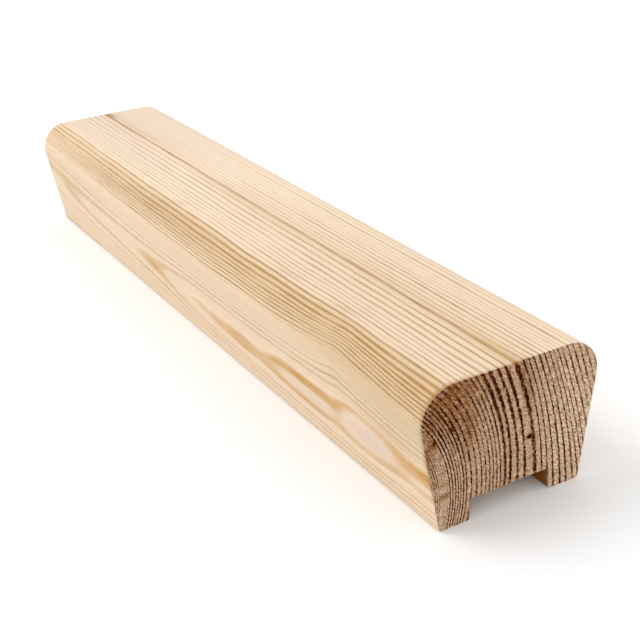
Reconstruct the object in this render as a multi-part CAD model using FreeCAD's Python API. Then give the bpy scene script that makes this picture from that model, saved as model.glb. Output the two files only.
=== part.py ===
"""A length of stair handrail: one planed piece of pine.

The section has a flat top, two large rounded shoulders, sides that taper in towards the bottom, and a
groove ploughed along the underside between two feet. The ends are sawn square.

Millimetres. X runs along the rail, Y across it and Z up. The origin is at mid-length, midway between
the feet, on the plane that they rest on.
"""

import FreeCAD
import Part

import math
import os

# Overall size of the rail
RAIL_LENGTH = 300.0
RAIL_WIDTH = 60.0  # across the shoulders, where the rail is widest
RAIL_HEIGHT = 45.0  # from the feet to the flat top

# Moulded shape of the section
SHOULDER_RADIUS = 11.0
FOOT_SPAN = 49.0  # across the outer edges of the two feet
FOOT_ARRIS_RADIUS = 1.2  # eased outer edge of each foot

# Groove along the underside, which takes the spindle tops and the strips between them
GROOVE_WIDTH = 28.0
GROOVE_DEPTH = 7.0
GROOVE_ARRIS_RADIUS = 0.6  # eased edge of the groove's mouth


def in_section(across, up):
    """The point of the section plane that lies so far across the rail and so far up it."""
    return FreeCAD.Vector(-RAIL_LENGTH / 2, across, up)


def side_slope_angle():
    """Angle of the side above the level, in radians.

    The side is the tangent from the foot's outer corner to the shoulder's arc, whose centre lies one
    shoulder radius in from the widest point and one shoulder radius below the top.
    """
    centre_across = RAIL_WIDTH / 2 - SHOULDER_RADIUS - FOOT_SPAN / 2
    centre_up = RAIL_HEIGHT - SHOULDER_RADIUS
    to_centre = math.hypot(centre_across, centre_up)
    return math.atan2(centre_up, centre_across) - math.asin(SHOULDER_RADIUS / to_centre)


def section_corners():
    """Corners of the section before rounding, in order, each as (point, corner radius)."""
    top_edge = FOOT_SPAN / 2 + RAIL_HEIGHT / math.tan(side_slope_angle())
    right_half = [
        (top_edge, RAIL_HEIGHT, SHOULDER_RADIUS),
        (FOOT_SPAN / 2, 0.0, FOOT_ARRIS_RADIUS),
        (GROOVE_WIDTH / 2, 0.0, GROOVE_ARRIS_RADIUS),
        (GROOVE_WIDTH / 2, GROOVE_DEPTH, 0.0),
    ]
    left_half = [(-across, up, radius) for across, up, radius in reversed(right_half)]
    return [(in_section(across, up), radius) for across, up, radius in right_half + left_half]


def corner_arc(before, corner, after, radius):
    """Start, middle and end of the arc that rounds a corner, or the bare corner where radius is 0."""
    if radius == 0.0:
        return [corner]
    back = (before - corner).normalize()
    ahead = (after - corner).normalize()
    half_angle = back.getAngle(ahead) / 2
    setback = radius / math.tan(half_angle)
    inward = (back + ahead).normalize()
    middle = corner + inward * (radius / math.sin(half_angle) - radius)
    return [corner + back * setback, middle, corner + ahead * setback]


def rounded_wire(corners):
    """Closed wire of straight runs and tangent arcs through the given corners."""
    points = [point for point, _ in corners]
    arcs = [
        corner_arc(points[i - 1], points[i], points[(i + 1) % len(points)], radius)
        for i, (_, radius) in enumerate(corners)
    ]
    edges = []
    for i, arc in enumerate(arcs):
        if len(arc) == 3:
            edges.append(Part.Arc(*arc).toShape())
        next_arc = arcs[(i + 1) % len(arcs)]
        edges.append(Part.LineSegment(arc[-1], next_arc[0]).toShape())
    return Part.Wire(edges)


def handrail():
    """The rail: its section run straight along the whole length, with square ends."""
    section = Part.Face(rounded_wire(section_corners()))
    return section.extrude(FreeCAD.Vector(RAIL_LENGTH, 0, 0))


def main():
    os.makedirs("parts", exist_ok=True)
    rail = handrail()
    rail.exportStep("parts/handrail.step")
    box = rail.BoundBox
    print(f"handrail: {box.XLength:.2f} x {box.YLength:.2f} x {box.ZLength:.2f} mm, {rail.Volume:.0f} mm3")


main()
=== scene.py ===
"""Looks of a stair handrail length: planed pine with sawn ends, in a plain pale studio.

The rail is one closed surface, its section carried along the length and closed over the sawn ends. The
figure of the wood is worked out in three dimensions, as rings around a pith that lies beside the rail,
so that the lines on the planed faces run on into the rings on the sawn ends.
"""

import logging
import math
from abc import ABC, abstractmethod
from dataclasses import dataclass, field
from enum import Enum
from typing import NamedTuple

import bmesh
import bpy
import numpy as np
from bpy.types import Material, Node, NodeSocket, NodeTree, Object
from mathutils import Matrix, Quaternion, Vector


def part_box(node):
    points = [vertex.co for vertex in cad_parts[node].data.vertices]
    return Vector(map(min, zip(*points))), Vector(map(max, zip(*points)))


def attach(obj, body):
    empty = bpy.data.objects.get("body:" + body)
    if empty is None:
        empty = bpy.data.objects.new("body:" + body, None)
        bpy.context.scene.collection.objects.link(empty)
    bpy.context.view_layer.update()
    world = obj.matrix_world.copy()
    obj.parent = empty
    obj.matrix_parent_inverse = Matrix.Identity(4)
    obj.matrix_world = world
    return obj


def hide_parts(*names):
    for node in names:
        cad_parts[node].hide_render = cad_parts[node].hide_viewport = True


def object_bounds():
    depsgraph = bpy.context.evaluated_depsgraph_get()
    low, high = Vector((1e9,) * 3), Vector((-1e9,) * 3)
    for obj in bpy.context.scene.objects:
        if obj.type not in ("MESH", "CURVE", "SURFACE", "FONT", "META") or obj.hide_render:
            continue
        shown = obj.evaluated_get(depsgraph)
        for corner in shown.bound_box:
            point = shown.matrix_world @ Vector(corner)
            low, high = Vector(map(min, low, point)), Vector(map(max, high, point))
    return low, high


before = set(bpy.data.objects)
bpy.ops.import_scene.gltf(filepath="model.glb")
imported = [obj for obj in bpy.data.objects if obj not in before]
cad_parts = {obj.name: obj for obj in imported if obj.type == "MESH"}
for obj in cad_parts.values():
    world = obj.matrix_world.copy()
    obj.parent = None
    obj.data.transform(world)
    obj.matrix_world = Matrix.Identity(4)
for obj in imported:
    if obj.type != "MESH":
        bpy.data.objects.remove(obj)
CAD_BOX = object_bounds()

REPORT = logging.getLogger("handrail")
MM = 0.001  # millimetres to Blender's metres
TINY = 1e-9  # millimetres: a length below this counts as none
NEAR_END = CAD_BOX[1][0] / MM  # place of the near sawn face along the rail, millimetres
END_MARK_DEPTH = 0.6  # how far into the wood a mark on that face reaches, millimetres
NOISE_SPAN = (0.3, 0.7)  # most values of a noise pattern lie between these
SHARE, UNDER, OVER = 0, 6, 7  # a colour mix's sockets, by number because others have the same names

Pair = tuple[float, float]
Triple = tuple[float, float, float]


def linear_colour(hex_code: str) -> tuple[float, float, float, float]:
    """Turns an sRGB hex colour into the linear colour that the shaders use.

    Args:
        hex_code: Six hex digits after a hash sign.

    Returns:
        Red, green, blue and a full alpha, each from 0 to 1.
    """
    coded = [int(hex_code[i:i + 2], 16) / 255 for i in (1, 3, 5)]
    # the sRGB curve: a straight line near black and a power above it
    red, green, blue = (c / 12.92 if c <= 0.04045 else ((c + 0.055) / 1.055) ** 2.4 for c in coded)
    return red, green, blue, 1.0


def metres(cell: Triple) -> Triple:
    """Turns the size of a pattern's cell on each axis from millimetres into metres."""
    return cell[0] * MM, cell[1] * MM, cell[2] * MM


def ranges(read: Pair = (0.0, 1.0), give: Pair = (0.0, 1.0)) -> dict[str, float]:
    """Names the limits by which one range of values is carried over to another.

    Args:
        read: Values that are carried to the limits of the new range.
        give: Limits of the new range.

    Returns:
        The four limits by the names of their sockets.
    """
    return {"From Min": read[0], "From Max": read[1], "To Min": give[0], "To Max": give[1]}


def add_node(tree: NodeTree, kind: str, inputs: dict[str | int, object], **settings: object) -> Node:
    """Adds one shader node with its settings and links.

    Args:
        tree: Node tree that gets the node.
        kind: Blender's class name of the node, without "ShaderNode".
        inputs: Input sockets by name or number. A node is linked by its first output in use, an output
            socket is linked as it is, a text is an sRGB hex colour, and anything else is a constant.
        settings: Properties of the node by name.

    Returns:
        The new node.
    """
    node = tree.nodes.new("ShaderNode" + kind)
    for name, value in settings.items():
        setattr(node, name, value)
    for socket, value in inputs.items():
        if isinstance(value, Node):
            value = next(output for output in value.outputs if output.enabled)
        if isinstance(value, NodeSocket):
            tree.links.new(value, node.inputs[socket])
        else:
            node.inputs[socket].default_value = linear_colour(value) if isinstance(value, str) else value
    return node


def smooth_step(low: float, high: float, value: np.ndarray) -> np.ndarray:
    """Rises from 0 at low to 1 at high as 3t^2 - 2t^3, level at both ends.

    Args:
        low: Value where the rise starts.
        high: Value where the rise ends.
        value: Values to place on the rise.

    Returns:
        The height of the rise at each value.
    """
    t = np.clip((value - low) / (high - low), 0.0, 1.0)
    return t * t * (3.0 - 2.0 * t)


class Face(Enum):
    """The two kinds of face on the rail, by their material slot."""

    LONG_GRAIN = 0
    END_GRAIN = 1


class Tone(Enum):
    """What a local mark changes: the lines' warmth, a stain, which on one wall of the groove is painted
    shade, the ground's paleness or the lines' strength.
    """

    WARM = 0
    STAIN_AND_SHADE = 1
    PALE = 2
    LINES = 3


@dataclass(frozen=True)
class GrowthSpell:
    """A run of like years of growth, in millimetres outwards across the rail.

    Attributes:
        ends_at: Where the run's last ring ends.
        rings: Number of rings in the run.
        latewood: Share of each ring that is dark latewood.
        darkness: Depth of the latewood's colour on a planed face, where 1 is its full colour.
        warmth: Colour of the latewood there, from 0 for tan through 1 for russet to 2 for amber.
        ground: Colour of the earlywood there, from -1 for honey through 0 for cream to 1 for blush.
        sawn_latewood: Share of each ring that looks dark on a sawn face.
        sawn_darkness: Depth of the dark colour there.
    """

    ends_at: float
    rings: int
    latewood: float
    darkness: float
    warmth: float
    ground: float
    sawn_latewood: float
    sawn_darkness: float


@dataclass(frozen=True)
class Swelling:
    """A place where a hidden branch pushes the rings outwards, or a hollow lets them in, in millimetres.

    Attributes:
        along: Place along the rail where the push is greatest.
        across: Place across the rail where the push is greatest.
        up: Height where the push is greatest.
        push: How far the rings are pushed there.
        reach_along: Distance along the rail over which the push fades.
        reach_around: Distance across the grain over which the push fades.
        roundness: 1 for a sharp crest, 2 for a round one and 4 for a flat one with steep ends.
        tip: Distance over which a sharp crest is rounded.
    """

    along: float
    across: float
    up: float
    push: float
    reach_along: float
    reach_around: float
    roundness: float
    tip: float = 1.5

    def push_at(self, x: np.ndarray, y: np.ndarray, z: np.ndarray) -> np.ndarray:
        """Push at each point: a bell across the grain times a crest along it, rounded over its tip.

        Args:
            x: Places along the rail.
            y: Places across the rail.
            z: Heights.

        Returns:
            How far the ring is pushed at each point.
        """
        around = ((y - self.across) ** 2 + (z - self.up) ** 2) / self.reach_around ** 2
        along = np.hypot(x - self.along, self.tip) / self.reach_along
        return self.push * np.exp(-0.5 * around - along ** self.roundness)


@dataclass(frozen=True)
class Mark:
    """A soft-edged patch of other colour, in millimetres, a bell about its middle in each direction.

    Attributes:
        tone: What the mark changes.
        amount: How much it changes that in its middle.
        middle: Where its middle lies.
        reach: Distance on each axis at which six tenths of the amount are left.
    """

    tone: Tone
    amount: float
    middle: Triple
    reach: Triple

    @classmethod
    def on_end(cls, tone: Tone, amount: float, middle: Pair, reach: Pair) -> "Mark":
        """Makes a mark on the near sawn face.

        Args:
            tone: What the mark changes.
            amount: How much it changes that in its middle.
            middle: Where its middle lies, across and up.
            reach: Its reach across and up.

        Returns:
            The mark.
        """
        return cls(tone, amount, (NEAR_END, *middle), (END_MARK_DEPTH, *reach))

    def amount_at(self, points: np.ndarray) -> np.ndarray:
        """Amount at each point: e to the power of minus half the squared distance counted in reaches."""
        spread = (points - self.middle) / self.reach
        return self.amount * np.exp(-0.5 * np.sum(spread ** 2, axis=1))


SIDE_MARKS = (
    # two lobes of clear pale wood inside the innermost ring, with faint lines in and around them
    Mark(Tone.PALE, 1.3, (120, -27, 15), (9, 3.0, 3.2)),
    Mark(Tone.PALE, 0.8, (84, -27, 13.5), (14, 3.0, 2.2)),
    Mark(Tone.LINES, -0.9, (147, -27, 13.0), (8, 3.0, 1.1)),
    Mark(Tone.LINES, -0.8, (84, -27, 13.3), (13, 3.0, 1.6)),
    Mark(Tone.LINES, -0.5, (121, -28, 20.5), (9, 3.0, 2.5)),
    Mark(Tone.LINES, -0.4, (120, -26, 9.5), (16, 3.0, 2.0)),
    Mark(Tone.LINES, -0.3, (26, -27, 14.5), (22, 3.0, 3.5)),
    # the innermost ring is strong above the second lobe and at the near end
    Mark(Tone.LINES, 0.3, (87, -27.5, 16.5), (14, 3.0, 1.5)),
    Mark(Tone.LINES, 0.35, (147, -27.3, 17.5), (9, 3.0, 2.5)),
    # resin where the next rings run out of the side
    Mark(Tone.WARM, 1.4, (-35, -27, 15), (18, 4.0, 5)),
    Mark(Tone.LINES, 1.0, (-38, -27, 15), (11, 3.0, 3.0)),
    Mark(Tone.WARM, 1.2, (-140, -29, 27), (22, 4.0, 9)),
    # honey-coloured wood high up and above the first lobe, and paler wood by the foot
    Mark(Tone.PALE, -0.45, (150, -29, 33), (34, 5.0, 6)),
    Mark(Tone.PALE, -0.4, (132, -28, 22), (16, 5.0, 2.5)),
    Mark(Tone.PALE, -0.3, (-140, -29.5, 32), (40, 5.0, 7)),
    Mark(Tone.PALE, 0.12, (60, -25.3, 3.5), (80, 4.0, 3)),
    # towards the far end the lines are strong high up and faint below
    Mark(Tone.LINES, 0.4, (-115, -29.8, 31), (40, 3.0, 4.0)),
    Mark(Tone.LINES, -0.6, (-150, -28.5, 25), (22, 3.0, 4.0)),
    Mark(Tone.LINES, -0.4, (-125, -26, 8), (45, 5.0, 8)),
)
SHOULDER_MARKS = (
    # strong lines at the near end, honey-coloured wood at the swelling and faint lines just past it
    Mark(Tone.LINES, 0.2, (135, -27, 40), (22, 5.0, 5.0)),
    Mark(Tone.PALE, -0.4, (105, -29, 38), (28, 3.0, 2.5)),
    Mark(Tone.LINES, -0.5, (96, -27.5, 37), (5, 3.0, 4)),
    # old stains past the middle, and lines that fade towards the far end
    Mark(Tone.STAIN_AND_SHADE, 0.25, (-18, -26.5, 41.5), (20, 2.0, 2.0)),
    Mark(Tone.STAIN_AND_SHADE, 0.25, (-80, -27.5, 40), (35, 2.0, 2.0)),
    Mark(Tone.LINES, -0.12, (20, -26.7, 42), (70, 2.0, 1.6)),
    Mark(Tone.LINES, -0.45, (-115, -27, 40), (45, 4.0, 5.0)),
    # pinker wood at the far end, below a honey-coloured streak
    Mark(Tone.PALE, 0.15, (-140, -27, 41), (35, 4.0, 5.0)),
    Mark(Tone.PALE, -0.4, (-115, -21.5, 44.7), (35, 1.2, 2)),
)
TOP_MARKS = (
    # resin and strong lines at the near end
    Mark(Tone.WARM, 1.0, (148, -4.5, 45), (9, 0.8, 3)),
    Mark(Tone.WARM, 0.8, (150, 1.0, 45), (12, 2.0, 3)),
    Mark(Tone.PALE, -0.6, (150, 1.0, 45), (12, 2.0, 3)),
    Mark(Tone.LINES, 0.1, (138, 1, 45), (25, 8.0, 4.0)),
    # honey-coloured wood along the middle
    Mark(Tone.PALE, -0.25, (115, 0, 45), (50, 16, 4)),
    Mark(Tone.PALE, -0.25, (110, 2.8, 45), (40, 1.5, 3)),
    Mark(Tone.PALE, -0.2, (0, 1, 45), (70, 11, 4)),
    Mark(Tone.PALE, -0.35, (-40, 0, 45), (45, 3.5, 4)),
    # pinker wood and faint lines towards the far end, with one bold line among them
    Mark(Tone.PALE, 0.85, (-125, 5, 45), (65, 20, 20)),
    Mark(Tone.LINES, -0.25, (-20, 4, 45), (50, 20, 4.0)),
    Mark(Tone.LINES, -0.85, (-115, 15, 45), (50, 9.0, 8.0)),
    Mark(Tone.LINES, -0.55, (-125, -12, 45), (42, 8.0, 8.0)),
    Mark(Tone.LINES, 0.5, (-110, 1.2, 45), (45, 1.5, 3.0)),
    # a stain along the end of the bold line, and smudges beside the shoulder
    Mark(Tone.STAIN_AND_SHADE, 0.8, (-147, 1.2, 45), (4, 1.2, 3)),
    Mark(Tone.STAIN_AND_SHADE, 0.14, (-120, 0.5, 45), (45, 3.0, 3)),
    Mark(Tone.STAIN_AND_SHADE, 0.3, (95, -18.5, 45), (3.5, 1.0, 2)),
    Mark(Tone.STAIN_AND_SHADE, 0.3, (62, -19.5, 45), (4, 0.7, 2)),
    Mark(Tone.STAIN_AND_SHADE, 0.3, (-20, -20.5, 45), (3, 0.8, 2)),
)
GROOVE_SHADE_MARKS = (
    # painted shade on one wall of the groove: a deep brown where the wall lies in shade, which stops just
    # short of the sawn face
    Mark(Tone.STAIN_AND_SHADE, 3.2, (145, 14, 3), (9, 0.6, 5)),
    Mark(Tone.STAIN_AND_SHADE, -2.9, (150.3, 14, 3), (1.2, 0.6, 5)),
)
END_MARKS = (
    # brown patches at the upper left, with two dark specks
    Mark.on_end(Tone.STAIN_AND_SHADE, 0.80, (-21, 36), (6.0, 6.0)),
    Mark.on_end(Tone.STAIN_AND_SHADE, 0.60, (-20, 43), (8.0, 3.0)),
    Mark.on_end(Tone.STAIN_AND_SHADE, 0.60, (-27.5, 26), (1.5, 8.0)),
    Mark.on_end(Tone.STAIN_AND_SHADE, 0.20, (-7, 40), (6.0, 6.0)),
    Mark.on_end(Tone.STAIN_AND_SHADE, 0.55, (-14.5, 28), (2.5, 5.0)),
    Mark.on_end(Tone.STAIN_AND_SHADE, 5.00, (-19.6, 31.4), (0.35, 0.5)),
    Mark.on_end(Tone.STAIN_AND_SHADE, 4.00, (-25.6, 28.5), (0.35, 0.5)),
    # brown streaks across the rings at the left and along them above, and a small dark check
    Mark.on_end(Tone.STAIN_AND_SHADE, 0.90, (-23, 11), (2.0, 0.7)),
    Mark.on_end(Tone.STAIN_AND_SHADE, 0.80, (-24, 15), (2.0, 0.3)),
    Mark.on_end(Tone.STAIN_AND_SHADE, 0.65, (6, 34), (1.2, 5.0)),
    Mark.on_end(Tone.STAIN_AND_SHADE, 0.60, (3.5, 41), (1.2, 4.0)),
    Mark.on_end(Tone.STAIN_AND_SHADE, 8.00, (6.8, 20.1), (0.75, 0.4)),
    # strong rings above and in the right foot, and weaker ones at the right
    Mark.on_end(Tone.LINES, 0.5, (-24, 34), (6.0, 7.0)),
    Mark.on_end(Tone.LINES, 0.7, (0, 37), (5.0, 6.5)),
    Mark.on_end(Tone.LINES, 0.25, (19, 4), (6.0, 6.0)),
    Mark.on_end(Tone.LINES, -0.2, (25, 26), (5.0, 9.0)),
    # redder rings towards the edges, and cleaner wood at the right and low on the left
    Mark.on_end(Tone.WARM, 1.0, (22, 16), (9.0, 20.0)),
    Mark.on_end(Tone.WARM, 0.9, (-27, 41), (5.0, 4)),
    Mark.on_end(Tone.WARM, 0.9, (-16, 44.5), (9.0, 2.0)),
    Mark.on_end(Tone.WARM, 0.6, (-20, 2), (5.0, 6.0)),
    Mark.on_end(Tone.PALE, 1.3, (23, 12), (8.0, 20.0)),
    Mark.on_end(Tone.PALE, 0.4, (-23.5, 9), (2.0, 5.0)),
)


@dataclass(frozen=True)
class Log:
    """The part of a pine trunk that the rail was cut from, in millimetres in the rail's own frame.

    A ring is named by its offset: how far across the rail it lies at the height of the pith. Inner rings
    are strongly bowed around the pith, and outer rings are flatter and lean the other way.
    """

    pith_height: float = 8.0
    offsets: tuple[float, ...] = (-27, -15, 0, 12, 26)  # rings whose bow and lean are given below
    bows: tuple[float, ...] = (0.030, 0.021, 0.013, 0.0085, 0.005)  # curvature, per millimetre
    leans: tuple[float, ...] = (-0.04, -0.085, -0.055, 0.045, 0.187)  # millimetres across for each one up
    most_turned: float = 0.95  # a ring is followed round to where the sine of its turn, squared, is this
    half_steps: int = 24  # steps that settle the offset of the ring through a point
    inner_offset: float = -27.0  # offset of the innermost rings, at the rail's side
    wander_reach: float = 20.0  # how far out from there the pith's wander is felt
    wander_out: float = 2.7  # pith's drift away from the rail
    wander_out_span: Pair = (0.15, 1.05)  # where it starts and stops, in lengths from the near end
    wander_down: float = 0.65  # pith's first fall along the rail
    wander_down_span: Pair = (0.0, 0.25)
    wander_up: float = 8.0  # pith's later rise along the rail
    wander_up_span: Pair = (0.3, 1.3)
    # slow waves in the lines: millimetres along the rail and outwards for each radian, and the start
    waves: tuple[Triple, ...] = ((19, 5, 0), (11, -3, 1), (7, 2, 2))
    wave_height: float = 0.075  # of each of them
    waves_from: Pair = (-24, -19)  # offsets between which the waves set in
    spell_blend: float = 0.1  # distance either side of a spell's end over which its values give way
    thickening: float = 0.4  # how much wider a line gets where a mark doubles its strength
    most_latewood: float = 0.9  # greatest share of a ring that a line takes up
    sawn_layer: float = 0.05  # depth of the wood that counts as the sawn face
    tone_limits: tuple[Pair, ...] = ((0, 2), (0, 3), (-1, 1))  # of warmth, stain with the groove's painted shade, and paleness
    spells: tuple[GrowthSpell, ...] = (
        # ends_at, rings, latewood, darkness, warmth, ground, sawn_latewood, sawn_darkness
        GrowthSpell(-29.7, 0, 0.22, 0.10, 1.00, -0.10, 0.50, 0.30),
        GrowthSpell(-26.0, 1, 0.22, 0.72, 2.00, 0.00, 0.20, 0.45),
        GrowthSpell(-25.2, 1, 0.45, 0.50, 0.85, -0.30, 0.65, 0.45),
        GrowthSpell(-24.6, 1, 0.60, 0.48, 0.80, -0.30, 0.65, 0.45),
        GrowthSpell(-23.9, 1, 0.55, 0.35, 0.70, -0.30, 0.65, 0.40),
        GrowthSpell(-21.3, 4, 0.50, 0.18, 0.30, -0.35, 0.65, 0.20),
        GrowthSpell(-20.4, 1, 0.50, 0.22, 0.30, -0.35, 0.58, 1.05),
        GrowthSpell(-18.5, 2, 0.70, 0.80, 0.60, -0.50, 0.58, 1.00),
        GrowthSpell(-16.9, 2, 0.78, 0.90, 0.75, -0.70, 0.60, 0.85),
        GrowthSpell(-15.0, 2, 0.80, 1.00, 0.85, -0.85, 0.60, 1.10),
        GrowthSpell(-13.4, 1, 0.75, 1.05, 1.00, -1.00, 0.50, 0.70),
        GrowthSpell(-11.6, 1, 0.70, 1.00, 0.95, -0.95, 0.50, 0.57),
        GrowthSpell(-9.9, 1, 0.65, 0.85, 0.75, -0.60, 0.50, 0.63),
        GrowthSpell(-7.1, 2, 0.65, 0.60, 0.30, -0.10, 0.52, 0.57),
        GrowthSpell(-3.3, 3, 0.65, 0.65, 0.20, -0.05, 0.55, 0.80),
        GrowthSpell(0.4, 2, 0.62, 0.75, 0.20, -0.05, 0.72, 1.05),
        GrowthSpell(5.6, 2, 0.50, 0.85, 0.35, -0.10, 0.50, 1.05),
        GrowthSpell(9.3, 1, 0.66, 0.95, 0.50, -0.25, 0.48, 0.95),
        GrowthSpell(13.1, 2, 0.62, 0.60, 0.20, -0.05, 0.42, 0.92),
        GrowthSpell(15.3, 1, 0.55, 0.60, 0.20, -0.05, 0.40, 0.92),
        GrowthSpell(17.9, 1, 0.50, 0.80, 0.30, -0.10, 0.39, 1.05),
        GrowthSpell(22.2, 2, 0.55, 0.65, 0.20, -0.05, 0.44, 0.80),
        GrowthSpell(27.1, 3, 0.60, 0.40, 0.20, -0.05, 0.46, 0.65),
        GrowthSpell(29.2, 1, 0.65, 0.60, 0.20, -0.05, 0.46, 0.70),
        GrowthSpell(43.0, 7, 0.60, 0.45, 0.20, -0.05, 0.46, 0.65),
    )
    swellings: tuple[Swelling, ...] = (
        # the hidden branch by the shoulder
        Swelling(along=105, across=-28, up=37.5, push=2.7, reach_along=24, reach_around=7, roundness=1.1),
        # the core's first lobe, and flat swellings that carry the rings on above it
        Swelling(along=118, across=-28, up=16.5, push=0.4, reach_along=14, reach_around=7.5, roundness=3.5),
        Swelling(along=90, across=-28, up=20, push=0.25, reach_along=29, reach_around=10, roundness=4.0),
        Swelling(along=30, across=-28, up=20, push=0.25, reach_along=50, reach_around=10, roundness=4.0),
        # the neck after that lobe, the second lobe, and the long tip where the innermost ring runs out
        Swelling(along=101, across=-28, up=15, push=-0.17, reach_along=5, reach_around=6, roundness=2.0),
        Swelling(along=79, across=-28, up=15.3, push=0.38, reach_along=22, reach_around=2.7, roundness=3.0),
        Swelling(along=53, across=-28, up=17, push=-0.4, reach_along=50, reach_around=2.5, roundness=4.0),
        Swelling(along=20, across=-28, up=14.2, push=0.38, reach_along=30, reach_around=4.3, roundness=4.0),
        # the far end, where the outer rings rise and the last loop closes
        Swelling(along=-160, across=-29, up=33, push=1.5, reach_along=60, reach_around=6, roundness=2.0),
        Swelling(along=-150, across=-28, up=24, push=-0.4, reach_along=34, reach_around=8, roundness=2.0),
        Swelling(along=-150, across=-28, up=21, push=-0.3, reach_along=18, reach_around=6, roundness=2.0),
    )
    marks: tuple[Mark, ...] = SIDE_MARKS + SHOULDER_MARKS + TOP_MARKS + GROOVE_SHADE_MARKS + END_MARKS

    def ring_offset(self, y: np.ndarray, height: np.ndarray) -> np.ndarray:
        """Offset of the ring through each point of a section.

        A ring of offset r passes through y = r - lean(r) h - sag(r, h), where h is the height above the
        pith and sag is how far a circle of the ring's curvature falls back over h. The equation is
        solved for r by repeated half steps.

        Args:
            y: Places across the rail.
            height: Heights above the pith.

        Returns:
            The ring's offset at each point.
        """
        offset = y.copy()
        for _ in range(self.half_steps):
            bow = np.interp(offset, self.offsets, self.bows)
            slant = np.interp(offset, self.offsets, self.leans)
            turned = np.clip((bow * height) ** 2, 0.0, self.most_turned)
            sag = bow * height ** 2 / (1.0 + np.sqrt(1.0 - turned))
            offset = 0.5 * (offset + y + slant * height + sag)
        return offset

    def offset_at(self, points: np.ndarray, length: float) -> np.ndarray:
        """Ring offset at each point, with the pith's wander, slow waves along the lines and the swellings.

        The wander shifts a point against the pith by a share that fades away from the innermost rings. A
        wave is a sine of the place along the rail and of the offset.

        Args:
            points: Points as rows of x, y and z.
            length: Length of the rail.

        Returns:
            The ring's offset at each point.
        """
        x, y, z = points.T
        straight = self.ring_offset(y, z - self.pith_height)
        felt = np.exp(-np.clip(straight - self.inner_offset, 0.0, None) / self.wander_reach)
        away = (length / 2 - x) / length
        out = self.wander_out * smooth_step(*self.wander_out_span, away)
        up = self.wander_up * smooth_step(*self.wander_up_span, away)
        up -= self.wander_down * smooth_step(*self.wander_down_span, away)
        offset = self.ring_offset(y + felt * out, z - self.pith_height - felt * up)
        waves = sum(np.sin(x / along + offset / outwards + start) for along, outwards, start in self.waves)
        waves *= smooth_step(*self.waves_from, offset)
        return offset + self.wave_height * waves - sum(s.push_at(x, y, z) for s in self.swellings)

    def years_at(self, offset: np.ndarray) -> np.ndarray:
        """Count of years at each offset: straight runs between the ends of the spells."""
        ends = [s.ends_at for s in self.spells]
        return np.interp(offset, ends, np.cumsum([s.rings for s in self.spells]))

    def spell_value(self, offset: np.ndarray, name: str) -> np.ndarray:
        """Value of a spell's field at each offset, with a short blend where spells meet.

        Args:
            offset: Ring offsets.
            name: Field of the spells to read.

        Returns:
            The field's value at each offset.
        """
        value = np.full_like(offset, getattr(self.spells[0], name))
        for inner, outer in zip(self.spells, self.spells[1:]):
            step = getattr(outer, name) - getattr(inner, name)
            blend = smooth_step(inner.ends_at - self.spell_blend, inner.ends_at + self.spell_blend, offset)
            value += step * blend
        return value

    def face_value(self, offset: np.ndarray, sawn: np.ndarray, name: str) -> np.ndarray:
        """Value of a spell's field at each offset, or of the sawn one of the same name.

        Args:
            offset: Ring offsets.
            sawn: Whether each point lies on a sawn face.
            name: Field of the spells to read.

        Returns:
            The value for the face that each point lies on.
        """
        return np.where(sawn, self.spell_value(offset, "sawn_" + name), self.spell_value(offset, name))

    def growth(self, points: np.ndarray, length: float) -> tuple[np.ndarray, np.ndarray]:
        """What the finishes need to know of the wood at each point.

        Args:
            points: Points as rows of x, y and z.
            length: Length of the rail.

        Returns:
            Rows of year, latewood share and latewood darkness, and rows of warmth, stain (with the groove's
            painted shade) and paleness.
        """
        offset = self.offset_at(points, length)
        sawn = np.abs(points[:, 0]) > length / 2 - self.sawn_layer
        tones = np.zeros((len(points), len(Tone)))
        tones[:, Tone.WARM.value] = np.where(sawn, 0.0, self.spell_value(offset, "warmth"))
        tones[:, Tone.PALE.value] = np.where(sawn, 0.0, self.spell_value(offset, "ground"))
        for mark in self.marks:
            tones[:, mark.tone.value] += mark.amount_at(points)
        stronger = tones[:, Tone.LINES.value]
        share = self.face_value(offset, sawn, "latewood")
        share *= 1.0 + self.thickening * np.clip(stronger, 0.0, None)
        depth = self.face_value(offset, sawn, "darkness") * np.clip(1.0 + stronger, 0.0, None)
        rings = np.stack([self.years_at(offset), np.minimum(share, self.most_latewood), depth], axis=1)
        low, high = np.transpose(self.tone_limits)
        return rings, np.clip(tones[:, :Tone.LINES.value], low, high)


class Pattern(NamedTuple):
    """What a finish's pattern gives.

    Attributes:
        colour: Node with the colour, or the sRGB hex code of one colour all over.
        roughness: Node with the roughness.
        height: Node with the height of the fine relief.
    """

    colour: Node | str
    roughness: Node
    height: Node


class RingLines(NamedTuple):
    """What the shader knows of the growth ring at a point.

    Attributes:
        line: Node with the strength of the latewood line, from 0 to 1.
        number: Node with the ring's number.
        dark: Socket with the latewood's darkness.
    """

    line: Node
    number: Node
    dark: NodeSocket


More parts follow.
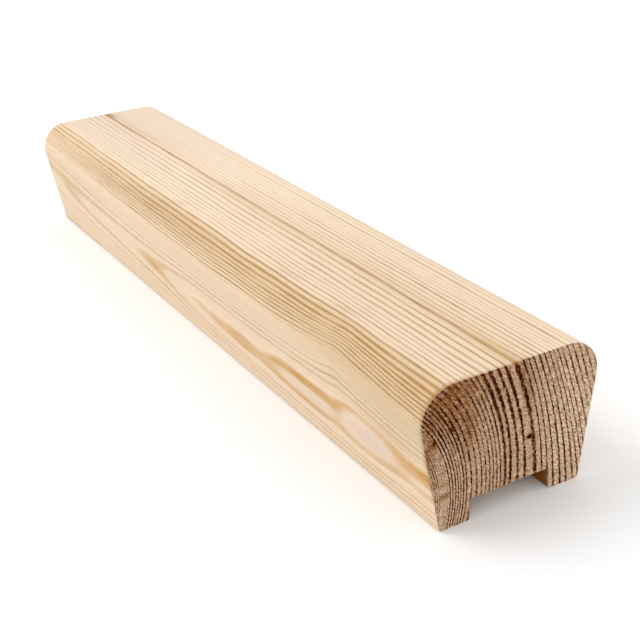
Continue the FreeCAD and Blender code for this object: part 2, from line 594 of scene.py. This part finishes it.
@dataclass(frozen=True)
class Finish(ABC):
    """What all finishes share: a pattern of colour and roughness, with a fine relief.

    Attributes:
        name: Name of the material.
        relief: Height of the fine relief, millimetres.
        specular: Strength of the mirrored light, 0.5 for a closed surface and less for an open one.
        roughness: Least and greatest roughness.
    """

    name: str
    relief: float
    specular: float
    roughness: Pair

    def material(self) -> Material:
        """Builds the material.

        Returns:
            The new material.
        """
        material = bpy.data.materials.new(self.name)
        material.use_nodes = True
        tree = material.node_tree
        tree.nodes.clear()
        place = add_node(tree, "TexCoord", {}).outputs["Object"]
        pattern = self.pattern(tree, place)
        bump = add_node(tree, "Bump", {"Height": pattern.height, "Distance": self.relief * MM})
        looks = {"Base Color": pattern.colour, "Roughness": pattern.roughness, "Normal": bump}
        shader = add_node(tree, "BsdfPrincipled", looks | {"Specular IOR Level": self.specular})
        add_node(tree, "OutputMaterial", {"Surface": shader})
        return material

    @abstractmethod
    def pattern(self, tree: NodeTree, place: NodeSocket) -> Pattern:
        """Adds the finish's own pattern.

        Args:
            tree: The material's node tree.
            place: Object coordinates.

        Returns:
            The nodes that the pattern ends in.
        """


@dataclass(frozen=True)
class PineFinish(Finish):
    """What both pine finishes share: growth rings, read from the surface's own attributes.

    Attributes:
        bark_edge: Share of the latewood over which it stops, on the bark side.
        full_from: Share of the latewood that is left when it reaches its full colour.
        wobble: How far a line strays to either side, in widths of latewood.
        run: Distance over which a line's depth changes, millimetres.
        weakest: How much of a line's depth is left in its weakest places.
        strongest: How much of it there is in its strongest places.
        own_depths: Least and greatest depth that a line has of its own.
        strand_gap: Distance between lines in the noise that changes them, enough to make them differ.
    """

    bark_edge: float
    full_from: float
    wobble: float
    run: float
    weakest: float
    strongest: float = 1.25
    own_depths: Pair = (0.85, 1.2)
    strand_gap: float = 7.3

    def ring_lines(self, tree: NodeTree, grain: Node) -> RingLines:
        """Adds the latewood lines: soft on the pith side of each ring and sharp on the bark side.

        Args:
            tree: The material's node tree.
            grain: Noise from 0 to 1 that makes the lines stray.

        Returns:
            The ring at each point.
        """
        growth = add_node(tree, "Attribute", {}, attribute_name="growth")
        year, share, dark = add_node(tree, "SeparateXYZ", {0: growth.outputs["Vector"]}).outputs
        stray = add_node(tree, "MapRange", {"Value": grain, **ranges(give=(-self.wobble, self.wobble))})
        age = add_node(tree, "Math", {0: stray, 1: share, 2: year}, operation="MULTIPLY_ADD")
        phase = add_node(tree, "Math", {0: age}, operation="FRACT")
        number = add_node(tree, "Math", {0: age}, operation="FLOOR")
        start = add_node(tree, "Math", {0: 1.0, 1: share}, operation="SUBTRACT")
        stop = add_node(tree, "Math", {0: share, 1: -self.bark_edge, 2: 1.0}, operation="MULTIPLY_ADD")
        full = add_node(tree, "Math", {0: share, 1: -self.full_from, 2: 1.0}, operation="MULTIPLY_ADD")
        rise = add_node(
            tree, "MapRange", {"Value": phase, "From Min": start, "From Max": full},
            interpolation_type="SMOOTHSTEP",
        )
        fall = add_node(
            tree, "MapRange", {"Value": phase, "From Min": 1.0, "From Max": stop},
            interpolation_type="SMOOTHSTEP",
        )
        line = add_node(tree, "Math", {0: rise, 1: fall}, operation="MULTIPLY")
        return RingLines(line, number, dark)

    def latewood(self, tree: NodeTree, lines: RingLines, distance: NodeSocket) -> Node:
        """Adds the depth of the latewood's colour: each line has its own, and it changes along the line.

        Args:
            tree: The material's node tree.
            lines: The ring at each point.
            distance: Distance along the line, metres.

        Returns:
            The depth of the latewood's colour.
        """
        own = add_node(tree, "TexWhiteNoise", {"W": lines.number}, noise_dimensions="1D")
        depth = add_node(tree, "MapRange", {"Value": own, **ranges(give=self.own_depths)})
        steps = add_node(tree, "Math", {0: distance, 1: 1 / (self.run * MM)}, operation="MULTIPLY")
        apart = add_node(tree, "Math", {0: lines.number, 1: self.strand_gap}, operation="MULTIPLY")
        strand = add_node(tree, "CombineXYZ", {"X": steps, "Y": apart})
        change = add_node(tree, "TexNoise", {"Vector": strand, "Scale": 1.0, "Detail": 2.0})
        run_depth = add_node(
            tree, "MapRange", {"Value": change, **ranges(NOISE_SPAN, (self.weakest, self.strongest))}
        )
        for factor in (run_depth, lines.dark, lines.line):
            depth = add_node(tree, "Math", {0: depth, 1: factor}, operation="MULTIPLY")
        depth.use_clamp = True
        return depth


@dataclass(frozen=True)
class PlanedPine(PineFinish):
    """Pine planed along the grain, with no finish on it.

    To the eye it has a dull sheen, earlywood from honey through cream to blush, soft-edged latewood lines
    from tan through russet to amber, fine fibres along the rail and short dark dashes of resin ducts.
    """

    name: str = "planed_pine"
    relief: float = 0.04
    specular: float = 0.3
    roughness: Pair = (0.5, 0.7)
    bark_edge: float = 0.45
    full_from: float = 0.5
    wobble: float = 0.3
    run: float = 22.0
    weakest: float = 0.7
    cream: str = "#e9d2b8"
    honey: str = "#cdb18c"
    blush: str = "#d9c2ae"
    tan: str = "#a4855f"
    russet: str = "#a87c42"
    amber: str = "#bd871c"
    # a stain's colour, which also lies under the groove wall's painted shade
    stain_and_shade: str = "#9a7445"
    # painted shade: the deep brown given to the groove's one wall where it lies in shade
    deep_stain_and_shade: str = "#8a5008"
    fibre_cell: Triple = (14, 0.4, 0.4)  # a fibre is a few hundredths wide, drawn ten times coarser to show
    fibre_shades: Pair = (0.92, 1.06)  # of the darkest and the lightest fibres
    duct_cell: Triple = (5, 0.25, 0.25)  # a resin duct cut lengthways
    duct_span: Pair = (0.7, 0.78)  # noise values between which a duct sets in
    duct_shade: float = 0.86
    streaks: Pair = (0.5, 1.2)  # share of a stain that the driest and the thirstiest fibres take up
    deep_stain_and_shade_span: Pair = (0.9, 1.6)  # stain between which the wood turns to the deep brown of the groove wall's painted shade
    line_rise: float = 0.6  # the harder latewood stands proud by this share of the fibres' relief

    def pattern(self, tree: NodeTree, place: NodeSocket) -> Pattern:
        """Adds the planed pattern: ring lines, fibres drawn out along the rail and resin ducts.

        Args:
            tree: The material's node tree.
            place: Object coordinates.

        Returns:
            The nodes that the pattern ends in.
        """
        fibre_place = add_node(
            tree, "Mapping", {"Vector": place, "Scale": metres(self.fibre_cell)}, vector_type="TEXTURE"
        )
        fibre = add_node(tree, "TexNoise", {"Vector": fibre_place, "Scale": 1.0, "Detail": 3.0})
        lines = self.ring_lines(tree, fibre)
        along = add_node(tree, "SeparateXYZ", {0: place}).outputs["X"]
        depth = self.latewood(tree, lines, along)
        tone = add_node(tree, "Attribute", {}, attribute_name="tone")
        warm, stain_and_shade, pale = add_node(tree, "SeparateXYZ", {0: tone.outputs["Vector"]}).outputs

        # the earlywood goes from honey through cream to blush, the latewood from tan through russet to amber
        resinous = add_node(tree, "MapRange", {"Value": pale, **ranges((0.0, -1.0))})
        early = self.cream
        for share, over in ((resinous, self.honey), (pale, self.blush)):
            early = add_node(tree, "Mix", {SHARE: share, UNDER: early, OVER: over}, data_type="RGBA")
        glow = add_node(tree, "MapRange", {"Value": warm, **ranges((1.0, 2.0))})
        late = self.tan
        for share, over in ((warm, self.russet), (glow, self.amber)):
            late = add_node(tree, "Mix", {SHARE: share, UNDER: late, OVER: over}, data_type="RGBA")

        # stains lie in the fibres, so they are streaky, and so is the groove wall's painted shade, which ends
        # in a deep brown
        streak = add_node(tree, "MapRange", {"Value": fibre, **ranges(NOISE_SPAN, self.streaks)})
        stain_and_shade_share = add_node(tree, "Math", {0: stain_and_shade, 1: streak}, operation="MULTIPLY")
        deep_stain_and_shade = add_node(tree, "MapRange", {"Value": stain_and_shade_share, **ranges(self.deep_stain_and_shade_span)})
        colour = early
        for share, over in ((depth, late), (stain_and_shade_share, self.stain_and_shade), (deep_stain_and_shade, self.deep_stain_and_shade)):
            colour = add_node(tree, "Mix", {SHARE: share, UNDER: colour, OVER: over}, data_type="RGBA")

        # fibres differ a little in shade, and resin ducts are short thin dark dashes
        duct_place = add_node(
            tree, "Mapping", {"Vector": place, "Scale": metres(self.duct_cell)}, vector_type="TEXTURE"
        )
        duct = add_node(tree, "TexNoise", {"Vector": duct_place, "Scale": 1.0, "Detail": 0.0})
        dash = add_node(tree, "MapRange", {"Value": duct, **ranges(self.duct_span, (1.0, self.duct_shade))})
        shade = add_node(tree, "MapRange", {"Value": fibre, **ranges(give=self.fibre_shades)})
        shade = add_node(tree, "Math", {0: shade, 1: dash}, operation="MULTIPLY")
        colour = add_node(
            tree, "Mix", {SHARE: 1.0, UNDER: colour, OVER: shade}, data_type="RGBA", blend_type="MULTIPLY"
        )
        roughness = add_node(tree, "MapRange", {"Value": fibre, **ranges(give=self.roughness)})
        height = add_node(tree, "Math", {0: depth, 1: self.line_rise, 2: fibre}, operation="MULTIPLY_ADD")
        return Pattern(colour, roughness, height)


@dataclass(frozen=True)
class SawnPine(PineFinish):
    """Pine sawn across the grain, with no finish on it.

    To the eye it is matt and speckled with the light tips and dark hollows of torn fibres, with broken
    rings from brown to near black, brown patches and a small check.
    """

    name: str = "sawn_pine"
    relief: float = 0.045
    specular: float = 0.03
    roughness: Pair = (0.75, 0.95)
    bark_edge: float = 0.3
    full_from: float = 0.5
    wobble: float = 0.35
    run: float = 4.0
    weakest: float = 0.3
    shadow: str = "#8d6c4a"
    fleck: str = "#d2b69d"
    clean: str = "#f0d8bc"
    brown: str = "#7a4d21"
    ring_edge: str = "#834c1e"
    ring: str = "#200300"
    red_ring: str = "#4a1206"
    torn_cell: Triple = (0.8, 0.8, 0.8)  # tufts of fibre that the saw pushed aside
    gap_cell: Triple = (2, 0.7, 1.0)  # breaks that the saw left in the lines
    gap_span: Pair = (0.4, 0.58)  # noise values between which a line goes from broken to whole
    strokes: Pair = (0.35, 1.9)  # strength of a line that is broken and of one that is whole
    fleck_cell: Triple = (0.5, 1.8, 0.36)  # torn fibre ends, drawn coarser than they are to show
    fleck_slant: float = -38.0  # degrees that the saw laid the fibre ends over, from level
    fleck_span: Pair = (0.36, 0.64)  # noise values from the hollows to the tips of the fibres
    patches: Pair = (1.3, 0.5)  # share of a stain in the hollows and on the tips
    deep_stain_and_shade_span: Pair = (1.0, 1.7)  # stain between which the wood turns to the colour of a ring
    edge_span: Pair = (0.0, 0.5)  # depth of a line between which its edge colour sets in
    core_span: Pair = (0.35, 0.9)  # depth of a line between which its dark colour sets in
    line_fall: float = -0.3  # height of the lines as a share of the flecks' relief, below the rest

    def pattern(self, tree: NodeTree, place: NodeSocket) -> Pattern:
        """Adds the sawn pattern: broken ring lines, light flecks of torn fibre and brown patches.

        Args:
            tree: The material's node tree.
            place: Object coordinates.

        Returns:
            The nodes that the pattern ends in.
        """
        torn_place = add_node(
            tree, "Mapping", {"Vector": place, "Scale": metres(self.torn_cell)}, vector_type="TEXTURE"
        )
        torn = add_node(tree, "TexNoise", {"Vector": torn_place, "Scale": 1.0, "Detail": 3.0})
        lines = self.ring_lines(tree, torn)
        tone = add_node(tree, "Attribute", {}, attribute_name="tone")
        warm, stain_and_shade, pale = add_node(tree, "SeparateXYZ", {0: tone.outputs["Vector"]}).outputs

        # lines fade and come back on their way up, and the saw breaks them into strokes
        up = add_node(tree, "SeparateXYZ", {0: place}).outputs["Z"]
        depth = self.latewood(tree, lines, up)
        gap_place = add_node(
            tree, "Mapping", {"Vector": place, "Scale": metres(self.gap_cell)}, vector_type="TEXTURE"
        )
        gap = add_node(tree, "TexNoise", {"Vector": gap_place, "Scale": 1.0, "Detail": 4.0, "Roughness": 0.7})
        stroke = add_node(tree, "MapRange", {"Value": gap, **ranges(self.gap_span, self.strokes)})
        depth = add_node(tree, "Math", {0: depth, 1: stroke}, operation="MULTIPLY", use_clamp=True)

        # torn fibre ends lie down slantwise, with light tips and dark hollows between them
        slant = (math.radians(self.fleck_slant), 0, 0)
        fleck_place = add_node(
            tree, "Mapping", {"Vector": place, "Rotation": slant, "Scale": metres(self.fleck_cell)},
            vector_type="TEXTURE",
        )
        fleck = add_node(
            tree, "TexNoise", {"Vector": fleck_place, "Scale": 1.0, "Detail": 3.0, "Roughness": 0.6}
        )
        light = add_node(tree, "MapRange", {"Value": fleck, **ranges(self.fleck_span)})
        tip = add_node(tree, "Mix", {SHARE: pale, UNDER: self.fleck, OVER: self.clean}, data_type="RGBA")

        # a stain lies between the torn fibres, so their tips stay lighter
        patch = add_node(tree, "MapRange", {"Value": fleck, **ranges(self.fleck_span, self.patches)})
        patch = add_node(tree, "Math", {0: patch, 1: stain_and_shade}, operation="MULTIPLY")
        deep_stain_and_shade = add_node(tree, "MapRange", {"Value": patch, **ranges(self.deep_stain_and_shade_span)})

        # over all that, the lines go from brown at their edges to near black
        edge = add_node(tree, "MapRange", {"Value": depth, **ranges(self.edge_span)})
        core = add_node(tree, "MapRange", {"Value": depth, **ranges(self.core_span)})
        dark = add_node(tree, "Mix", {SHARE: warm, UNDER: self.ring, OVER: self.red_ring}, data_type="RGBA")
        ground_layers = ((light, tip), (patch, self.brown), (deep_stain_and_shade, self.ring))
        line_layers = ((edge, self.ring_edge), (core, dark))
        colour = self.shadow
        for share, over in ground_layers + line_layers:
            colour = add_node(tree, "Mix", {SHARE: share, UNDER: colour, OVER: over}, data_type="RGBA")
        roughness = add_node(tree, "MapRange", {"Value": torn, **ranges(give=self.roughness)})
        height = add_node(tree, "Math", {0: depth, 1: self.line_fall, 2: fleck}, operation="MULTIPLY_ADD")
        return Pattern(colour, roughness, height)


@dataclass(frozen=True)
class BackdropPaper(Finish):
    """Matt paper of a studio roll, pressed from pulp. To the eye it is an even white with a faint tooth."""

    name: str = "backdrop_paper"
    relief: float = 0.02
    specular: float = 0.5
    roughness: Pair = (0.85, 0.95)
    white: str = "#f1f1f1"
    pulp_cell: Triple = (0.8, 0.8, 0.8)  # clumps of paper fibre

    def pattern(self, tree: NodeTree, place: NodeSocket) -> Pattern:
        """Adds the tooth of the paper's pulp.

        Args:
            tree: The material's node tree.
            place: Object coordinates.

        Returns:
            The one white and the nodes that the pattern ends in.
        """
        pulp_place = add_node(
            tree, "Mapping", {"Vector": place, "Scale": metres(self.pulp_cell)}, vector_type="TEXTURE"
        )
        pulp = add_node(tree, "TexNoise", {"Vector": pulp_place, "Scale": 1.0, "Detail": 2.0})
        roughness = add_node(tree, "MapRange", {"Value": pulp, **ranges(give=self.roughness)})
        return Pattern(self.white, roughness, pulp)


@dataclass(frozen=True)
class RailSection:
    """Section of the rail across its length, in millimetres, with y across and z up."""

    width: float
    height: float
    shoulder_radius: float = 11.0
    foot_span: float = 49.0
    foot_arris: float = 1.2
    groove_width: float = 28.0
    groove_depth: float = 7.0
    groove_arris: float = 0.6
    least_arc_steps: int = 4  # steps round even the smallest rounded corner

    def corners(self) -> tuple[np.ndarray, np.ndarray]:
        """Corners before rounding, counterclockwise from the groove's right corner, and their radii.

        Each side is the tangent from a foot's outer corner to the shoulder's arc.

        Returns:
            Corner points as rows of y and z, and the radius at each corner.
        """
        lean_in = self.width / 2 - self.shoulder_radius - self.foot_span / 2
        rise = self.height - self.shoulder_radius
        slope = math.atan2(rise, lean_in) - math.asin(self.shoulder_radius / math.hypot(lean_in, rise))
        top_edge = self.foot_span / 2 + self.height / math.tan(slope)
        half = np.array([
            (self.groove_width / 2, self.groove_depth, 0.0),
            (self.groove_width / 2, 0.0, self.groove_arris),
            (self.foot_span / 2, 0.0, self.foot_arris),
            (top_edge, self.height, self.shoulder_radius),
        ])
        loop = np.concatenate([half, half[::-1] * (-1, 1, 1)])
        return loop[:, :2], loop[:, 2]

    def outline(self, spacing: float, flat_steps: int) -> np.ndarray:
        """Closed outline with its corners rounded: arcs on the corners' bisectors and straight runs between.

        Args:
            spacing: Greatest distance between neighbouring points on the sides, feet and rounded corners.
            flat_steps: Number of steps across the flat top, and across the groove's ceiling.

        Returns:
            Points as rows of y and z, counterclockwise as seen from the +X end.
        """
        points, radii = self.corners()
        back = np.roll(points, 1, axis=0) - points
        ahead = np.roll(points, -1, axis=0) - points
        back /= np.linalg.norm(back, axis=1, keepdims=True)
        ahead /= np.linalg.norm(ahead, axis=1, keepdims=True)
        half_angle = 0.5 * np.arccos(np.sum(back * ahead, axis=1))
        bisector = back + ahead
        bisector /= np.linalg.norm(bisector, axis=1, keepdims=True)
        centres = points + bisector * (radii / np.sin(half_angle))[:, None]
        starts = points + back * (radii / np.tan(half_angle))[:, None]
        ends = points + ahead * (radii / np.tan(half_angle))[:, None]
        pieces = []
        for i in range(len(points)):
            pieces.append(self.corner_arc(centres[i], starts[i], ends[i], spacing))
            run = starts[(i + 1) % len(points)] - ends[i]
            # the flat top and the groove's ceiling are the level runs that are wider than a foot
            level = abs(run[1]) < TINY and abs(run[0]) > self.groove_width / 2
            steps = flat_steps if level else math.ceil(np.linalg.norm(run) / spacing)
            pieces.append(ends[i] + run * (np.arange(1, steps) / steps)[:, None])
        return np.concatenate(pieces)

    def corner_arc(
        self, centre: np.ndarray, start: np.ndarray, end: np.ndarray, spacing: float
    ) -> np.ndarray:
        """Points on the arc from start to end about centre, or the bare corner where they are one point.

        Args:
            centre: Centre of the arc.
            start: Where the arc starts.
            end: Where the arc ends.
            spacing: Greatest distance between neighbouring points.

        Returns:
            Points as rows of y and z.
        """
        radius = np.linalg.norm(start - centre)
        if radius == 0.0:
            return start[None]
        first = math.atan2(*(start - centre)[::-1])
        turn = math.remainder(math.atan2(*(end - centre)[::-1]) - first, 2 * math.pi)
        count = max(self.least_arc_steps, math.ceil(abs(turn) * radius / spacing))
        angles = first + turn * np.linspace(0.0, 1.0, count + 1)
        return centre + radius * np.stack([np.cos(angles), np.sin(angles)], axis=1)

    def spine(self, outline: np.ndarray, height: float) -> np.ndarray:
        """Level line inside the section that a sawn face closes on.

        Each point of the outline goes to the given height. The flat top is narrowed to the width of the
        groove, so that its points meet those of the groove's ceiling, and all else goes to the line's ends.

        Args:
            outline: Points of the outline.
            height: Height of the line.

        Returns:
            The point on the line for each point of the outline.
        """
        groove_half = self.groove_width / 2
        narrowing = groove_half / (self.width / 2 - self.shoulder_radius)
        across = outline[:, 0] * np.where(outline[:, 1] > height, narrowing, 1.0)
        return np.stack([np.clip(across, -groove_half, groove_half), np.full(len(outline), height)], axis=1)


@dataclass
class Handrail:
    """The rail: its surface, the growth of its wood and its two finishes. Sizes are in millimetres."""

    node: str = "handrail"
    slot: str = "pine"
    spacing: float = 0.7  # of points around the section
    flat_steps: int = 72  # across the flat top, and across the groove's ceiling
    station_spacing: float = 3.0  # of sections along the rail
    cap_rows: int = 45  # from the edge of a sawn face to its middle
    spine_height: float = 25.0  # of the line that a sawn face closes on
    merging: float = 0.001  # points closer than this become one
    end_arris: float = 0.2  # the sawn ends' edges are eased by this much
    torn_depth: float = 0.5  # longest fibres left hanging by the saw
    torn_reach: float = 1.6  # how far they reach back from the sawn face
    torn_middle: float = -5.5  # where across the groove most of them hang
    torn_spread: float = 4.0
    torn_least: float = 0.35  # share of their length that is left far from there
    torn_before: float = 0.8  # share of their length just before the arris
    chip_share: float = 0.5  # depth of the chips under the feet, beside the fibres' length
    near_seed: int = 3
    far_seed: int = 4
    sawn_facing: float = 0.9  # a face is sawn where its normal points along the rail by more than this
    sharp_angle: float = 40.0  # degrees past which an edge is shaded sharp
    log: Log = field(default_factory=Log)

    @property
    def size(self) -> np.ndarray:
        """Length, width and height of the rail, from the frame."""
        low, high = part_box(self.node)
        return (np.array(high) - np.array(low)) / MM

    def torn_fibres(self, outline: np.ndarray, section: RailSection, seed: int) -> np.ndarray:
        """Shift of the outline at a sawn face, where the saw tore fibres out.

        On the groove's ceiling fibres hang down, most of them about one place, and under the feet chips
        are missing. Each depth is the cube of an even random draw, so few of them are deep.

        Args:
            outline: Points of the outline.
            section: The section that the outline is of.
            seed: Start of the random draws.

        Returns:
            The shift of each point, as rows of y and z.
        """
        y, z = outline.T
        depth = self.torn_depth * np.random.default_rng(seed).random(len(outline)) ** 3
        crowd = np.exp(-((y - self.torn_middle) / self.torn_spread) ** 2)
        crowd = self.torn_least + (1.0 - self.torn_least) * crowd
        ceiling = np.isclose(z, section.groove_depth) & (np.abs(y) < section.groove_width / 2 - self.spacing)
        down = np.where(ceiling, -depth * crowd, 0.0)
        chips = np.where(np.isclose(z, 0.0), self.chip_share * depth, 0.0)
        return np.stack([np.zeros(len(outline)), down + chips], axis=1)

    def end_rows(self, outline: np.ndarray, section: RailSection, seed: int) -> tuple[np.ndarray, np.ndarray]:
        """Rows of the grid from the last plain station over the arris to the middle of a sawn face.

        The first row is the outline with most of the torn fibres, just before the arris. The second is the
        outline moved inwards along its normals by the arris. The rest go from there in even steps to the
        spine.

        Args:
            outline: Points of the outline.
            section: The section that the outline is of.
            seed: Start of the random draws for the torn fibres.

        Returns:
            How far each row lies back from the sawn face, and the rows' points as y and z.
        """
        tangent = np.roll(outline, -1, axis=0) - np.roll(outline, 1, axis=0)
        inward = np.stack([-tangent[:, 1], tangent[:, 0]], axis=1)
        inward /= np.linalg.norm(inward, axis=1, keepdims=True)
        torn = self.torn_fibres(outline, section, seed)
        sawn = outline + self.end_arris * inward + torn
        steps = np.linspace(0.0, 1.0, self.cap_rows + 1)[:, None, None]
        cap = sawn + (section.spine(outline, self.spine_height) - sawn) * steps
        rows = np.concatenate([(outline + self.torn_before * torn)[None], cap])
        back = np.zeros(len(rows))
        back[0] = self.end_arris
        return back, rows

    def grid(self) -> np.ndarray:
        """Points of the rail's surface: its outline carried along the rail, then drawn in at the ends.

        Returns:
            Points by row along the rail, from the far sawn face to the near one, and column around it.
        """
        length, width, height = self.size
        section = RailSection(width, height)
        outline = section.outline(self.spacing, self.flat_steps)
        near_back, near_rows = self.end_rows(outline, section, self.near_seed)
        far_back, far_rows = self.end_rows(outline, section, self.far_seed)
        plain = length / 2 - self.torn_reach
        stations = np.linspace(-plain, plain, math.ceil(2 * plain / self.station_spacing) + 1)
        plain_rows = np.repeat(outline[None], len(stations), axis=0)
        along = np.concatenate([far_back[::-1] - length / 2, stations, length / 2 - near_back])
        sections = np.concatenate([far_rows[::-1], plain_rows, near_rows])
        places = np.broadcast_to(along[:, None, None], (*sections.shape[:2], 1))
        return np.concatenate([places, sections], axis=2)

    def build(self) -> Object:
        """Builds the rail's surface: a face between each four neighbours of the grid, its ends merged shut.

        Returns:
            The rail's object, at the origin.
        """
        points = self.grid()
        index = np.arange(points.shape[0] * points.shape[1]).reshape(points.shape[:2])
        beside = np.roll(index, -1, axis=1)
        quads = np.stack([index[:-1], beside[:-1], beside[1:], index[1:]], axis=-1).reshape(-1, 4)
        mesh = bpy.data.meshes.new("pine_rail")
        mesh.from_pydata(points.reshape(-1, 3) * MM, [], quads.tolist())
        shell = bmesh.new()
        shell.from_mesh(mesh)
        bmesh.ops.remove_doubles(shell, verts=shell.verts, dist=self.merging * MM)
        shell.to_mesh(mesh)
        shell.free()
        rail = bpy.data.objects.new("pine_rail", mesh)
        bpy.context.scene.collection.objects.link(rail)
        return rail

    def dress(self, rail: Object) -> None:
        """Gives the rail its growth attributes, its finishes and its smooth shading.

        Args:
            rail: The rail's object.
        """
        mesh = rail.data
        flat = np.empty(len(mesh.vertices) * 3)
        mesh.vertices.foreach_get("co", flat)
        rings, tones = self.log.growth(flat.reshape(-1, 3) / MM, self.size[0])
        mesh.attributes.new("growth", "FLOAT_VECTOR", "POINT").data.foreach_set("vector", rings.ravel())
        mesh.attributes.new("tone", "FLOAT_VECTOR", "POINT").data.foreach_set("vector", tones.ravel())
        mesh.materials.append(PlanedPine().material())
        mesh.materials.append(SawnPine().material())
        normals = np.empty(len(mesh.polygons) * 3)
        mesh.polygons.foreach_get("normal", normals)
        sawn = np.abs(normals.reshape(-1, 3)[:, 0]) > self.sawn_facing
        slots = np.where(sawn, Face.END_GRAIN.value, Face.LONG_GRAIN.value)
        mesh.polygons.foreach_set("material_index", slots.astype(np.int32))
        mesh.polygons.foreach_set("use_smooth", np.ones(len(mesh.polygons), dtype=bool))
        mesh.set_sharp_from_angle(angle=math.radians(self.sharp_angle))
        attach(rail, "root")
        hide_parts(self.node)


@dataclass(frozen=True)
class SoftBox:
    """A round soft light aimed at the origin, with its place and size in metres and its power in watts."""

    name: str
    place: Triple
    size: float
    power: float

    def build(self) -> None:
        """Adds the light."""
        lamp = bpy.data.lights.new(self.name, "AREA")
        lamp.shape = "DISK"
        lamp.size = self.size
        lamp.energy = self.power
        light = bpy.data.objects.new(self.name, lamp)
        light.location = self.place
        light.rotation_mode = "QUATERNION"
        light.rotation_quaternion = (-Vector(self.place)).to_track_quat("-Z", "Y")
        bpy.context.scene.collection.objects.link(light)


@dataclass(frozen=True)
class Studio:
    """Plain pale floor, soft lights and the camera."""

    floor_side: float = 8.0  # metres
    sky: str = "#ffffff"
    sky_strength: float = 0.97
    soft_boxes: tuple[SoftBox, ...] = (
        SoftBox("key", (-0.55, -0.8, 1.25), 1.0, 9.8),
        SoftBox("fill", (1.1, 0.45, 0.5), 0.8, 0.9),
    )
    camera_place: Triple = (376.3, -182.35, 198.15)  # millimetres
    camera_heading: float = 0.503  # radians from -X towards +Y
    camera_pitch: float = -0.448  # radians, downwards below 0
    camera_roll: float = -0.054  # radians
    lens: float = 68.65  # millimetres, on a sensor 36 wide

    def build(self) -> None:
        """Builds the floor, the lights and the camera."""
        self.lay_floor()
        self.light()
        self.aim_camera()
        bpy.context.scene.view_settings.view_transform = "Standard"

    def lay_floor(self) -> None:
        """Lays the floor: a level square of paper about the origin."""
        reach = self.floor_side / 2
        mesh = bpy.data.meshes.new("floor")
        corners = [(-reach, -reach, 0), (reach, -reach, 0), (reach, reach, 0), (-reach, reach, 0)]
        mesh.from_pydata(corners, [], [(0, 1, 2, 3)])
        mesh.materials.append(BackdropPaper().material())
        floor = bpy.data.objects.new("floor", mesh)
        bpy.context.scene.collection.objects.link(floor)

    def light(self) -> None:
        """Adds the even light of the white room and the soft boxes."""
        world = bpy.data.worlds.new("studio")
        world.use_nodes = True
        background = world.node_tree.nodes["Background"]
        background.inputs["Color"].default_value = linear_colour(self.sky)
        background.inputs["Strength"].default_value = self.sky_strength
        bpy.context.scene.world = world
        for soft_box in self.soft_boxes:
            soft_box.build()

    def aim_camera(self) -> None:
        """Adds the camera, turned by its heading, pitch and roll."""
        camera = bpy.data.objects.new("camera", bpy.data.cameras.new("camera"))
        camera.data.lens = self.lens
        camera.location = Vector(self.camera_place) * MM
        level = math.cos(self.camera_pitch)
        forward = Vector((
            -math.cos(self.camera_heading) * level,
            math.sin(self.camera_heading) * level,
            math.sin(self.camera_pitch),
        ))
        roll = Quaternion((0, 0, 1), self.camera_roll)
        camera.rotation_mode = "QUATERNION"
        camera.rotation_quaternion = forward.to_track_quat("-Z", "Y") @ roll
        bpy.context.scene.collection.objects.link(camera)
        bpy.context.scene.camera = camera


def main() -> None:
    """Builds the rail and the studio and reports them."""
    logging.basicConfig(level=logging.INFO)
    handrail = Handrail()
    rail = handrail.build()
    handrail.dress(rail)
    REPORT.info("%s: %d triangles", rail.name, sum(len(face.vertices) - 2 for face in rail.data.polygons))
    Studio().build()
    REPORT.info("studio: floor, lights and camera")


if __name__ == "__main__":
    main()
